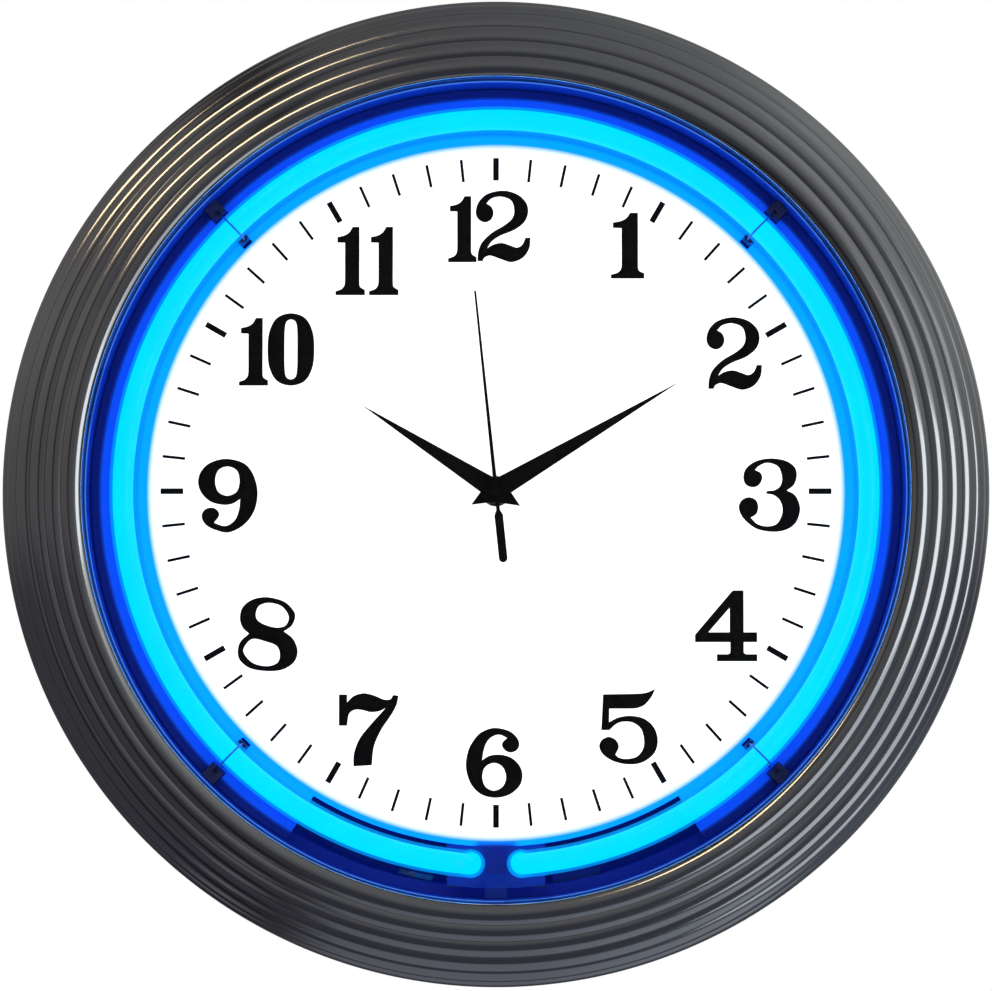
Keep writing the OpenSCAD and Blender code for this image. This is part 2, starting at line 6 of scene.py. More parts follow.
import bmesh
import bpy
from mathutils import Matrix, Vector


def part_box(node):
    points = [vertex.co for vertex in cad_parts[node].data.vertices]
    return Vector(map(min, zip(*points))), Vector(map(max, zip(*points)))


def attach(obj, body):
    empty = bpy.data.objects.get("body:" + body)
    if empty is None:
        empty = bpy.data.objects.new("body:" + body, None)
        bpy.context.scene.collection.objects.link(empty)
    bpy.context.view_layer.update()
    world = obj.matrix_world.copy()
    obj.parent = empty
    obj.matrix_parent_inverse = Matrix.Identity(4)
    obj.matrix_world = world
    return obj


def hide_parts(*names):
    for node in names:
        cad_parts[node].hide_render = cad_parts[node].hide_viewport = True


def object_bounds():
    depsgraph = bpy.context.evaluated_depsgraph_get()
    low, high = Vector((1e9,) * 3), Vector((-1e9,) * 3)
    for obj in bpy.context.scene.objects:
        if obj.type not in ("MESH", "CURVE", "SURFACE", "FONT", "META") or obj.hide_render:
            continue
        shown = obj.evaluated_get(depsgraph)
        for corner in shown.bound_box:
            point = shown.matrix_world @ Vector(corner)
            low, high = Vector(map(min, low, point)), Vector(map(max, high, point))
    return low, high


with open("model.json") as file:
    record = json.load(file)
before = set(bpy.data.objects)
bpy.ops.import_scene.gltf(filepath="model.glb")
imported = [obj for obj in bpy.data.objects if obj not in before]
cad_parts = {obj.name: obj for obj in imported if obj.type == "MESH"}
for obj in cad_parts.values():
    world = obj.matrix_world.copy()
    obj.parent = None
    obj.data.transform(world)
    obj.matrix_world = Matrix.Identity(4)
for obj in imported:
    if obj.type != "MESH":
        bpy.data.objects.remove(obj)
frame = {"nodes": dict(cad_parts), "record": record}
CAD_BOX = [list(corner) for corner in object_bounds()]
MM = 0.001
NODES = frame["nodes"]


def face(x, y, z):
    """World point of a point on the face: x right, y to twelve o'clock, z out of the wall, in mm."""
    return Vector((x, -z, y)) * MM


def on_clock(angle, r):
    """x, y on the face at a clock angle in degrees and a radius."""
    a = math.radians(angle)
    return r * math.sin(a), r * math.cos(a)


def node_size(name):
    """Lowest and highest corner of a CAD node on the face, in mm, as (x, y, z)."""
    low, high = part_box(name)
    return (
        (low.x / MM, low.z / MM, -high.y / MM),
        (high.x / MM, high.z / MM, -low.y / MM),
    )


# ---------------------------------------------------------------- sizes read from the frame, in mm
DIAL_Z = node_size("dial")[1][2]
DIAL_R = node_size("dial")[1][0]
TUBE_R = 5.2
TUBE_HIGH = node_size("neon_tube")[1]
RING_R = TUBE_HIGH[0] - TUBE_R
RING_Z = TUBE_HIGH[2] - TUBE_R
PRINT_T = 0.1
GAS_R = 3.95
BEND_R = 9.0
LEG_PAST_BEND = 9.65
GAS_FOOT_Z = 41.0
FLOOR_GAP = 0.11


# ---------------------------------------------------------------- mesh helpers
def add_object(name, mesh, material, body="clock"):
    """A finished piece that rides on a body, with its material."""
    obj = bpy.data.objects.new(name, mesh)
    bpy.context.scene.collection.objects.link(obj)
    mesh.materials.clear()
    mesh.materials.append(material)
    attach(obj, body)
    return obj


def sweep(points, radius, sides):
    """A closed tube mesh along a line of points, with rounded caps."""
    mesh = bpy.data.meshes.new("sweep")
    bm = bmesh.new()
    rows = []
    count = len(points)
    tangents = [
        (points[min(i + 1, count - 1)] - points[max(i - 1, 0)]).normalized()
        for i in range(count)
    ]
    side = tangents[0].orthogonal().normalized()
    for point, tangent in zip(points, tangents):
        side = (side - tangent * side.dot(tangent)).normalized()
        other = tangent.cross(side)
        rows.append(
            [
                bm.verts.new(
                    point
                    + (side * math.cos(t) + other * math.sin(t)) * radius
                )
                for t in (2 * math.pi * k / sides for k in range(sides))
            ]
        )
    for a, b in zip(rows, rows[1:]):
        for k in range(sides):
            bm.faces.new((a[k], a[(k + 1) % sides], b[(k + 1) % sides], b[k]))
    bm.faces.new(list(reversed(rows[0])))
    bm.faces.new(rows[-1])
    bmesh.ops.recalc_face_normals(bm, faces=bm.faces)
    for f in bm.faces:
        f.smooth = len(f.verts) == 4
    bm.to_mesh(mesh)
    bm.free()
    return mesh


# ---------------------------------------------------------------- materials
def new_material(name):
    """An empty node material, its tree and its output."""
    material = bpy.data.materials.new(name)
    material.use_nodes = True
    tree = material.node_tree
    tree.nodes.clear()
    out = tree.nodes.new("ShaderNodeOutputMaterial")
    return material, tree, out


def place(tree, stretch=(1, 1, 1)):
    """Object coordinates, in metres, stretched where the grain runs one way."""
    coordinate = tree.nodes.new("ShaderNodeTexCoord")
    mapping = tree.nodes.new("ShaderNodeMapping")
    mapping.inputs["Scale"].default_value = stretch
    tree.links.new(coordinate.outputs["Object"], mapping.inputs["Vector"])
    return mapping.outputs["Vector"]


def noise(tree, vector, per_metre, detail=4.0, rough=0.55):
    """Noise from 0 to 1 with so many cells per metre."""
    n = tree.nodes.new("ShaderNodeTexNoise")
    n.inputs["Scale"].default_value = per_metre
    n.inputs["Detail"].default_value = detail
    n.inputs["Roughness"].default_value = rough
    tree.links.new(vector, n.inputs["Vector"])
    return n.outputs["Fac"]


def between(tree, value, low, high, start=0.3, end=0.7):
    """The value from start to end, mapped to low to high and held past them."""
    m = tree.nodes.new("ShaderNodeMapRange")
    m.inputs["From Min"].default_value = start
    m.inputs["From Max"].default_value = end
    m.inputs["To Min"].default_value = low
    m.inputs["To Max"].default_value = high
    tree.links.new(value, m.inputs["Value"])
    return m.outputs["Result"]


def mix_colour(tree, factor, a, b):
    """Colour a blended into b; each is a colour or a socket."""
    m = tree.nodes.new("ShaderNodeMix")
    m.data_type = "RGBA"
    tree.links.new(factor, m.inputs["Factor"])
    sockets = [s for s in m.inputs if s.type == "RGBA"]
    for socket, value in zip(sockets, (a, b)):
        if isinstance(value, (tuple, list)):
            socket.default_value = (*value[:3], 1.0)
        else:
            tree.links.new(value, socket)
    return [s for s in m.outputs if s.type == "RGBA"][0]


def relief(tree, height, depth):
    """A bumped normal from a height."""
    b = tree.nodes.new("ShaderNodeBump")
    b.inputs["Strength"].default_value = 1.0
    b.inputs["Distance"].default_value = depth
    tree.links.new(height, b.inputs["Height"])
    return b.outputs["Normal"]


def shader(tree, out, **values):
    """A principled shader joined to the output."""
    p = tree.nodes.new("ShaderNodeBsdfPrincipled")
    for key, value in values.items():
        p.inputs[key.replace("_", " ")].default_value = value
    tree.links.new(p.outputs["BSDF"], out.inputs["Surface"])
    return p


def surface(
    name, colour, shade, rough, patch=120.0, grain=2200.0, depth=0.00002,
    metallic=0.0, stretch=(1, 1, 1), **values
):
    """A finish with patches of two tones, uneven gloss and a fine raised grain."""
    material, tree, out = new_material(name)
    vector = place(tree, stretch)
    p = shader(tree, out, Metallic=metallic, **values)
    broad = noise(tree, vector, patch)
    fine = noise(tree, vector, grain, 3.0, 0.6)
    tone = mix_colour(tree, between(tree, broad, 0.0, 1.0), colour, shade)
    tree.links.new(tone, p.inputs["Base Color"])
    tree.links.new(between(tree, fine, rough[0], rough[1]), p.inputs["Roughness"])
    tree.links.new(relief(tree, fine, depth), p.inputs["Normal"])
    return material


def rim_metal():
    """Dark bright plating: a mirror with a slight swell and a thin uneven haze."""
    material, tree, out = new_material("rim_metal")
    vector = place(tree)
    p = shader(tree, out, Metallic=1.0)
    swell = noise(tree, vector, 12.0, 1.0, 0.4)
    haze = noise(tree, vector, 45.0, 2.0, 0.5)
    tone = mix_colour(
        tree, between(tree, swell, 0.0, 1.0), (0.40, 0.41, 0.43), (0.35, 0.355, 0.37)
    )
    tree.links.new(tone, p.inputs["Base Color"])
    tree.links.new(between(tree, haze, 0.10, 0.15), p.inputs["Roughness"])
    tree.links.new(relief(tree, swell, 0.00004), p.inputs["Normal"])
    return material


def object_axes(tree):
    """Object coordinates apart, in metres: outputs X, Y and Z."""
    coordinate = tree.nodes.new("ShaderNodeTexCoord")
    parts = tree.nodes.new("ShaderNodeSeparateXYZ")
    tree.links.new(coordinate.outputs["Object"], parts.inputs["Vector"])
    return parts.outputs


def radius_on_face(tree):
    """Distance from the clock's axis, in metres."""
    axes = object_axes(tree)
    flat = tree.nodes.new("ShaderNodeCombineXYZ")
    tree.links.new(axes["X"], flat.inputs["X"])
    tree.links.new(axes["Z"], flat.inputs["Y"])
    length = tree.nodes.new("ShaderNodeVectorMath")
    length.operation = "LENGTH"
    tree.links.new(flat.outputs["Vector"], length.inputs[0])
    return length.outputs["Value"]


def across_and_up(tree):
    """x to the right and height above the clock's axis, in metres."""
    axes = object_axes(tree)
    return axes["X"], axes["Z"]


def calculate(tree, operation, *values):
    """One step of arithmetic on one or two values."""
    node = tree.nodes.new("ShaderNodeMath")
    node.operation = operation
    for socket, value in zip(node.inputs, values):
        tree.links.new(value, socket)
    return node.outputs["Value"]


def absolute(tree, value):
    return calculate(tree, "ABSOLUTE", value)


def multiply(tree, a, b):
    return calculate(tree, "MULTIPLY", a, b)


def either(tree, a, b):
    """The larger of two masks."""
    return calculate(tree, "MAXIMUM", a, b)


def dial_with_painted_glow():
    """White dial with a painted glow: it emits near-white light all over, and a painted blue glow of the
    tube's light lies at its very edge.
    """
    material, tree, out = new_material("dial_with_painted_glow")
    vector = place(tree)
    p = shader(tree, out)
    r = radius_on_face(tree)
    # edge: mask of the painted blue glow of the tube's light along the dial's rim
    edge = between(tree, r, 0.0, 1.0, (DIAL_R - 2.4) * MM, (DIAL_R + 0.2) * MM)
    speck = noise(tree, vector, 1500.0, 3.0, 0.6)
    white = mix_colour(
        tree, between(tree, speck, 0.0, 1.0), (0.92, 0.925, 0.93), (0.885, 0.89, 0.90)
    )
    tone = mix_colour(tree, edge, white, (0.04, 0.30, 0.85))
    tree.links.new(tone, p.inputs["Base Color"])
    # painted glow: the dial emits near-white light all over and blue light along its rim
    light = mix_colour(tree, edge, (0.86, 0.87, 0.88), (0.0, 0.22, 0.80))
    tree.links.new(light, p.inputs["Emission Color"])
    p.inputs["Emission Strength"].default_value = 1.0
    tree.links.new(between(tree, speck, 0.42, 0.55), p.inputs["Roughness"])
    tree.links.new(relief(tree, speck, 0.000004), p.inputs["Normal"])
    return material


def height_from_wall(tree):
    """Distance out from the wall, in metres."""
    flip = tree.nodes.new("ShaderNodeMath")
    flip.operation = "MULTIPLY"
    flip.inputs[1].default_value = -1.0
    tree.links.new(object_axes(tree)["Y"], flip.inputs[0])
    return flip.outputs["Value"]


def reflector_plastic():
    """Blue reflector, deep blue at the tube, with a painted glow of the tube's light, pale blue, where it
    meets the dial, and painted shade, navy, past the slope and between the tube's legs below the ring.
    """
    material, tree, out = new_material("reflector_plastic")
    vector = place(tree)
    p = shader(tree, out)
    r = radius_on_face(tree)
    speck = noise(tree, vector, 900.0, 3.0, 0.6)
    blue = mix_colour(
        tree, between(tree, speck, 0.0, 1.0), (0.0, 0.12, 0.62), (0.001, 0.14, 0.66)
    )
    # painted glow: pale blue colour and blue emission in a band beside the dial stand for the tube's
    # light
    painted_glow_band = multiply(
        tree,
        between(tree, r, 1.0, 0.0, (DIAL_R + 3.5) * MM, (DIAL_R + 7.0) * MM),
        between(tree, r, 0.0, 1.0, (DIAL_R - 1.4) * MM, (DIAL_R - 0.6) * MM),
    )
    # painted shade: navy colour with a faint painted glow between the tube's legs below the ring
    x, z = across_and_up(tree)
    side = between(tree, absolute(tree, x), 1.0, 0.0, 6.5 * MM, 9.5 * MM)
    below = between(tree, z, 1.0, 0.0, -0.137, -0.134)
    bridge_painted_shade = multiply(tree, side, below)
    # painted shade: navy past the outer slope, where the reflector lies in shadow
    outer = between(tree, r, 0.0, 1.0, 152.6 * MM, 154.0 * MM)
    tone = mix_colour(tree, painted_glow_band, blue, (0.0, 0.40, 1.0))
    tone = mix_colour(tree, outer, tone, (0.001, 0.02, 0.20))
    tone = mix_colour(tree, bridge_painted_shade, tone, (0.004, 0.02, 0.18))
    tree.links.new(tone, p.inputs["Base Color"])
    glow = mix_colour(tree, painted_glow_band, (0.0, 0.0, 0.0), (0.0, 0.22, 0.80))
    glow = mix_colour(tree, bridge_painted_shade, glow, (0.001, 0.006, 0.05))
    tree.links.new(glow, p.inputs["Emission Color"])
    p.inputs["Specular IOR Level"].default_value = 0.2
    p.inputs["Emission Strength"].default_value = 1.0
    tree.links.new(between(tree, speck, 0.34, 0.46), p.inputs["Roughness"])
    tree.links.new(relief(tree, speck, 0.000006), p.inputs["Normal"])
    return material


def sleeve_plastic():
    """Dark blue sleeve with painted shade, navy at its back shading up to mid-blue at its front, a faint
    painted glow all over, and a painted thin line of the tube's light at its inside corner.
    """
    material, tree, out = new_material("sleeve_plastic")
    vector = place(tree)
    p = shader(tree, out)
    r = radius_on_face(tree)
    z = height_from_wall(tree)
    low, high = node_size("inner_sleeve")
    lens_overlap = 9.3
    bore = node_size("lens")[1][0] - lens_overlap
    speck = noise(tree, vector, 900.0, 3.0, 0.6)
    # painted shade: navy towards the sleeve's back, mid-blue towards its front, for the tube's light
    # falling off
    wall = mix_colour(
        tree, between(tree, z, 0.0, 1.0, low[2] * MM, high[2] * MM),
        (0.004, 0.012, 0.14), (0.01, 0.07, 0.42),
    )
    wall = mix_colour(tree, between(tree, speck, 0.0, 0.25), wall, (0.0, 0.0, 0.05))
    tree.links.new(wall, p.inputs["Base Color"])
    near_edge = between(tree, r, 1.0, 0.0, (bore + 0.15) * MM, (bore + 0.45) * MM)
    near_top = between(tree, z, 0.0, 1.0, (high[2] - 0.8) * MM, (high[2] - 0.2) * MM)
    corner = multiply(tree, near_edge, near_top)
    # painted light: a faint blue glow all over and a bright line of the tube's light at the inside corner
    glow = mix_colour(tree, corner, (0.0, 0.004, 0.05), (0.06, 0.20, 0.72))
    tree.links.new(glow, p.inputs["Emission Color"])
    p.inputs["Emission Strength"].default_value = 1.0
    tree.links.new(between(tree, speck, 0.25, 0.4), p.inputs["Roughness"])
    tree.links.new(relief(tree, speck, 0.000006), p.inputs["Normal"])
    return material


def case_plastic():
    """Black textured case, with painted blue light inside where the tube shines on it."""
    material, tree, out = new_material("case_plastic")
    vector = place(tree)
    p = shader(tree, out)
    z = height_from_wall(tree)
    r = radius_on_face(tree)
    grain = noise(tree, vector, 1800.0, 4.0, 0.6)
    patch = noise(tree, vector, 40.0)
    black = mix_colour(
        tree, between(tree, patch, 0.0, 1.0), (0.028, 0.028, 0.031), (0.040, 0.040, 0.044)
    )
    flange_front, floor_front, wall_inside = 44.5, 2.5, 153.5
    flange = between(
        tree, z, 0.0, 1.0, (flange_front - 0.2) * MM, (flange_front - 0.02) * MM
    )
    deep = multiply(
        tree,
        between(tree, z, 0.0, 1.0, (floor_front - 0.3) * MM, (floor_front - 0.05) * MM),
        between(tree, r, 1.0, 0.0, (wall_inside + 1.5) * MM, (wall_inside + 2.1) * MM),
    )
    # painted light: blue colour and a faint blue glow on the flange front and deep floor inside the rim,
    # for the tube's light
    inside = either(tree, flange, deep)
    tone = mix_colour(tree, inside, black, (0.002, 0.012, 0.22))
    tree.links.new(tone, p.inputs["Base Color"])
    glow = mix_colour(tree, inside, (0.0, 0.0, 0.0), (0.0, 0.002, 0.06))
    tree.links.new(glow, p.inputs["Emission Color"])
    p.inputs["Emission Strength"].default_value = 1.0
    tree.links.new(between(tree, grain, 0.42, 0.62), p.inputs["Roughness"])
    tree.links.new(relief(tree, grain, 0.00005), p.inputs["Normal"])
    return material


def shone_on(name, colour, shade, glow, span=(126.0, 153.0)):
    """A dark part inside the case, with the tube's blue light painted on where it lies behind the ring.
    """
    material, tree, out = new_material(name)
    vector = place(tree)
    p = shader(tree, out)
    grain = noise(tree, vector, 1500.0, 3.0, 0.6)
    patch = noise(tree, vector, 120.0)
    r = radius_on_face(tree)
    behind = multiply(
        tree,
        between(tree, r, 0.0, 1.0, (span[0] - 1.0) * MM, (span[0] + 1.0) * MM),
        between(tree, r, 1.0, 0.0, (span[1] - 0.3) * MM, (span[1] + 0.3) * MM),
    )
    black = mix_colour(tree, between(tree, patch, 0.0, 1.0), colour, shade)
    # painted light: blue colour and glow where the part lies behind the ring
    tone = mix_colour(tree, behind, black, (0.002, 0.012, 0.14))
    tree.links.new(tone, p.inputs["Base Color"])
    light = mix_colour(tree, behind, (0.0, 0.0, 0.0), glow)
    tree.links.new(light, p.inputs["Emission Color"])
    p.inputs["Emission Strength"].default_value = 1.0
    tree.links.new(between(tree, grain, 0.40, 0.58), p.inputs["Roughness"])
    tree.links.new(relief(tree, grain, 0.00003), p.inputs["Normal"])
    return material


def gas_light():
    """The lit gas: bright, and faintly streaked along the column."""
    material, tree, out = new_material("gas_light")
    vector = place(tree)
    p = shader(tree, out, Roughness=0.4)
    p.inputs["Base Color"].default_value = (0.0, 0.05, 0.2, 1.0)
    swirl = noise(tree, vector, 60.0, 2.0, 0.5)
    tone = mix_colour(
        tree, between(tree, swirl, 0.0, 1.0), (0.0, 0.29, 1.0), (0.0, 0.32, 1.0)
    )
    tree.links.new(tone, p.inputs["Emission Color"])
    p.inputs["Emission Strength"].default_value = 4.35
    return material


def lit_glass():
    """The tube's glass wall: clear, and glowing azure where the light runs in it."""
    material, tree, out = new_material("lit_glass")
    vector = place(tree)
    seed = noise(tree, vector, 300.0, 2.0, 0.5)
    clear = tree.nodes.new("ShaderNodeBsdfTransparent")
    clear.inputs["Color"].default_value = (0.93, 0.98, 1.0, 1.0)
    glow = tree.nodes.new("ShaderNodeEmission")
    tone = mix_colour(
        tree, between(tree, seed, 0.0, 1.0), (0.0, 0.38, 1.15), (0.0, 0.42, 1.2)
    )
    tree.links.new(tone, glow.inputs["Color"])
    glow.inputs["Strength"].default_value = 1.0
    gloss = tree.nodes.new("ShaderNodeBsdfGlossy")
    gloss.inputs["Roughness"].default_value = 0.05
    lit = tree.nodes.new("ShaderNodeMixShader")
    tree.links.new(between(tree, seed, 0.33, 0.37), lit.inputs["Fac"])
    tree.links.new(clear.outputs["BSDF"], lit.inputs[1])
    tree.links.new(glow.outputs["Emission"], lit.inputs[2])
    both = tree.nodes.new("ShaderNodeMixShader")
    both.inputs["Fac"].default_value = 0.004
    tree.links.new(lit.outputs["Shader"], both.inputs[1])
    tree.links.new(gloss.outputs["BSDF"], both.inputs[2])
    tree.links.new(both.outputs["Shader"], out.inputs["Surface"])
    return material


def pane_glass():
    """The front pane: clear, with a weak reflection and a trace of smear in it."""
    material, tree, out = new_material("pane_glass")
    vector = place(tree)
    smear = noise(tree, vector, 14.0, 3.0, 0.6)
    clear = tree.nodes.new("ShaderNodeBsdfTransparent")
    clear.inputs["Color"].default_value = (0.995, 1.0, 1.0, 1.0)
    gloss = tree.nodes.new("ShaderNodeBsdfGlossy")
    tree.links.new(between(tree, smear, 0.0, 0.06), gloss.inputs["Roughness"])
    fresnel = tree.nodes.new("ShaderNodeFresnel")
    fresnel.inputs["IOR"].default_value = 1.12
    both = tree.nodes.new("ShaderNodeMixShader")
    tree.links.new(fresnel.outputs["Fac"], both.inputs["Fac"])
    tree.links.new(clear.outputs["BSDF"], both.inputs[1])
    tree.links.new(gloss.outputs["BSDF"], both.inputs[2])
    tree.links.new(both.outputs["Shader"], out.inputs["Surface"])
    return material


FINISH = {
    "rim": rim_metal(),
    "clear_glass": pane_glass(),
    "dial_white": dial_with_painted_glow(),
    "lit_tube": lit_glass(),
    "black_rubber": surface(
        "black_rubber", (0.030, 0.030, 0.032), (0.05, 0.05, 0.052), (0.6, 0.8), depth=0.00004
    ),
    "blue_plastic": reflector_plastic(),
    "print_black": surface(
        "print_black", (0.002, 0.002, 0.002), (0.005, 0.005, 0.005), (0.5, 0.65), depth=0.000003,
        Specular_IOR_Level=0.08
    ),
    "black_plastic": surface(
        "black_plastic", (0.028, 0.028, 0.031), (0.042, 0.042, 0.046), (0.42, 0.6), depth=0.00005
    ),
    "support_plastic": surface(
        "support_plastic", (0.012, 0.016, 0.06), (0.02, 0.026, 0.08), (0.25, 0.4), depth=0.00001
    ),
    "zinc_steel": surface(
        "zinc_steel", (0.62, 0.62, 0.63), (0.50, 0.50, 0.52), (0.22, 0.42),
        metallic=1.0, depth=0.000006, patch=500.0
    ),
    "black_steel": surface(
        "black_steel", (0.012, 0.012, 0.013), (0.02, 0.02, 0.022), (0.28, 0.42), depth=0.000004
    ),
    "wire_grey": surface("wire_grey", (0.58, 0.58, 0.56), (0.48, 0.48, 0.46), (0.4, 0.55)),
    "wire_red": surface("wire_red", (0.48, 0.03, 0.03), (0.36, 0.02, 0.02), (0.3, 0.45)),
    "copper": surface(
        "copper", (0.62, 0.24, 0.10), (0.50, 0.17, 0.06), (0.2, 0.4),
        metallic=1.0, stretch=(0.05, 1, 1), depth=0.00003
    ),
    "board_green": surface(
        "board_green", (0.02, 0.20, 0.07), (0.03, 0.27, 0.09), (0.25, 0.4), patch=900.0
    ),
    "gear_plastic": surface("gear_plastic", (0.82, 0.81, 0.74), (0.74, 0.73, 0.66), (0.38, 0.5)),
    "switch_red": surface("switch_red", (0.52, 0.02, 0.02), (0.44, 0.015, 0.015), (0.18, 0.3)),
    "cell_wrap": surface("cell_wrap", (0.04, 0.13, 0.36), (0.05, 0.17, 0.44), (0.22, 0.36)),
}
GAS = gas_light()
# faint blue glow painted on dark parts in the case for the tube's light
FAINT_PAINTED_GLOW = (0.0, 0.002, 0.055)
BLACK_IN_CASE = shone_on("black_in_case", (0.028, 0.028, 0.031), (0.042, 0.042, 0.046), FAINT_PAINTED_GLOW)
OWN_FINISH = {
    "boot_left": BLACK_IN_CASE,
    "boot_right": BLACK_IN_CASE,
    "power_jack": BLACK_IN_CASE,
    "switch_body": BLACK_IN_CASE,
    "supply_base": BLACK_IN_CASE,
    "supply_cover": BLACK_IN_CASE,
    "low_voltage_leads": shone_on("leads_in_case", (0.40, 0.03, 0.03), (0.30, 0.02, 0.02), FAINT_PAINTED_GLOW),
    # painted light: the electrode holder takes a stronger painted blue glow
    "electrode_holder": shone_on(
        "holder_plastic", (0.03, 0.03, 0.04), (0.02, 0.02, 0.03), (0.0, 0.012, 0.16)
    ),
    # painted light: blue colour and a faint blue glow on the tie wires stand for the tube's light
    "tie_wires": surface(
        "lit_wire", (0.004, 0.09, 0.50), (0.002, 0.06, 0.40), (0.3, 0.45), depth=0.00001,
        Emission_Color=(0.0, 0.03, 0.25, 1.0), Emission_Strength=1.0
    ),
    "reflector_pan": FINISH["blue_plastic"],
    "inner_sleeve": sleeve_plastic(),
    "back_case": case_plastic(),
}


def dress_nodes():
    """Each CAD node takes the finish of the record's slot for it."""
    for part in frame["record"]["subparts"]:
        name = part["node"]
        finish = OWN_FINISH.get(name) or FINISH[part["material_slot"]]
        NODES[name].data.materials.clear()
        NODES[name].data.materials.append(finish)


# ---------------------------------------------------------------- ribbed rim
BEAD_START = (159.6, 89.4)
BEAD_W = 6.7
BEAD_H = 1.1
BEAD_SLOPES = (12, 18, 25, 35, 52, 78, 90, 97)
HOLLOW = (159.3, 58.5, 27.2)
LIP_R = 158.0
LIP_Z = 83.5
ROLL_R = 2.2
GASKET_SEAT = 9.0
SKIRT = (186.3, 188.8, 40.0)


def arc(centre, radius, start, end, steps):
    """Points of an arc; angles in radians from straight out of the wall towards the edge."""
    made = []
    for k in range(steps + 1):
        t = start + (end - start) * k / steps
        made.append((centre[0] + radius * math.sin(t), centre[1] + radius * math.cos(t)))
    return made


def rim_section():
    """Closed section of the rim as (radius, height) in mm: rolled lip, beads, skirt, inside wall."""
    bead_r = (BEAD_W**2 / 4 + BEAD_H**2) / (2 * BEAD_H)
    spread = math.asin(BEAD_W / 2 / bead_r)
    outer = [(LIP_R, LIP_Z)]
    groove = BEAD_START
    for i, slope in enumerate(BEAD_SLOPES):
        a = math.radians(slope)
        centre = (
            groove[0] + BEAD_W / 2 * math.cos(a) - (bead_r - BEAD_H) * math.sin(a),
            groove[1] - BEAD_W / 2 * math.sin(a) - (bead_r - BEAD_H) * math.cos(a),
        )
        low, high = a - spread, a + spread
        if i == 0:
            low = math.asin((LIP_R + ROLL_R - centre[0]) / (bead_r - ROLL_R))
            roll = (LIP_R + ROLL_R, centre[1] + (bead_r - ROLL_R) * math.cos(low))
            outer += arc(roll, ROLL_R, -math.pi / 2, low, 12)
        if i == len(BEAD_SLOPES) - 1:
            high = math.pi - math.asin((SKIRT[1] - centre[0]) / bead_r)
        outer += arc(centre, bead_r, low, high, 14)[1:]
        groove = (groove[0] + BEAD_W * math.cos(a), groove[1] - BEAD_W * math.sin(a))
    outer += [(SKIRT[1], SKIRT[2]), (SKIRT[0], SKIRT[2])]
    start = math.pi - math.asin((SKIRT[0] - HOLLOW[0]) / HOLLOW[2])
    end = math.asin((LIP_R + GASKET_SEAT - HOLLOW[0]) / HOLLOW[2])
    outer += arc(HOLLOW, HOLLOW[2], start, end, 24)
    outer.append((LIP_R + GASKET_SEAT, LIP_Z))
    return outer


def spin(bm, section, turns, centre=(0.0, 0.0)):
    """Adds the closed section turned about an axis out of the wall through centre."""
    rows = []
    for k in range(turns):
        a = 2 * math.pi * k / turns
        rows.append(
            [
                bm.verts.new(face(centre[0] + r * math.cos(a), centre[1] + r * math.sin(a), z))
                for r, z in section
            ]
        )
    for a, b in zip(rows, rows[1:] + rows[:1]):
        for i in range(len(section)):
            j = (i + 1) % len(section)
            bm.faces.new((a[i], a[j], b[j], b[i]))


def bosses(bm, count, ring_r, bore_r, outer_r, low, high):
    """Hollow screw bosses evenly round the rim, the first half a step past twelve o'clock."""
    section = [(bore_r, low), (outer_r, low), (outer_r, high), (bore_r, high)]
    for i in range(count):
        spin(bm, section, 24, on_clock(360 / count * (i + 0.5), ring_r))


def ribbed_rim():
    """The whole rim moulding with its screw bosses, turned smooth."""
    bm = bmesh.new()
    spin(bm, rim_section(), 540)
    bosses(bm, 6, 171.0, 1.3, 2.9, 79.8, 83.6)
    bosses(bm, 8, 178.0, 1.6, 4.0, 44.5, 78.4)
    bmesh.ops.recalc_face_normals(bm, faces=bm.faces)
    mesh = bpy.data.meshes.new("ribbed_rim")
    bm.to_mesh(mesh)
    bm.free()
    mesh.shade_smooth()
    mesh.set_sharp_from_angle(angle=math.radians(30))
    rim = add_object("ribbed_rim", mesh, FINISH["rim"])
    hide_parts("bezel")
    return rim


# ---------------------------------------------------------------- gas column in the tube
def tube_line():
    """Centre line of the tube: up the left leg, round the ring, down the right leg."""
    ring_end = math.degrees(math.asin((BEND_R + LEG_PAST_BEND) / RING_R))
    start = 180 + ring_end
    sweep_angle = 360 - 2 * ring_end
    ring = [
        face(*on_clock(start + sweep_angle * k / 240, RING_R), RING_Z) for k in range(241)
    ]

    def leg(ring_angle, side):
        """Quarter bend from a ring end into the leg, from the ring down."""
        x, y = on_clock(ring_angle, RING_R)
        a = math.radians(ring_angle)
        along = Vector((math.cos(a), -math.sin(a))) * side
        made = []
        for k in range(1, 13):
            t = math.radians(90 * k / 12)
            out = BEND_R * math.sin(t)
            drop = BEND_R * (1 - math.cos(t))
            made.append(face(x + along.x * out, y + along.y * out, RING_Z - drop))
        end_x, end_y = x + along.x * BEND_R, y + along.y * BEND_R
        for z in (RING_Z - BEND_R - 8, 50.0, GAS_FOOT_Z):
            made.append(face(end_x, end_y, z))
        return made

    first = leg(start, -1)
    last = leg(start + sweep_angle, 1)
    return list(reversed(first)) + ring + last


def gas_column():
    """The lit gas as a solid column inside the tube."""
    mesh = sweep(tube_line(), GAS_R * MM, 32)
    return add_object("gas_column", mesh, GAS)


# ---------------------------------------------------------------- numerals
# width of each figure and its outlines in mm, the outer one first and any holes after it
def C(x, y):
    """A point where an outline turns a corner."""
    return (x, y, True)


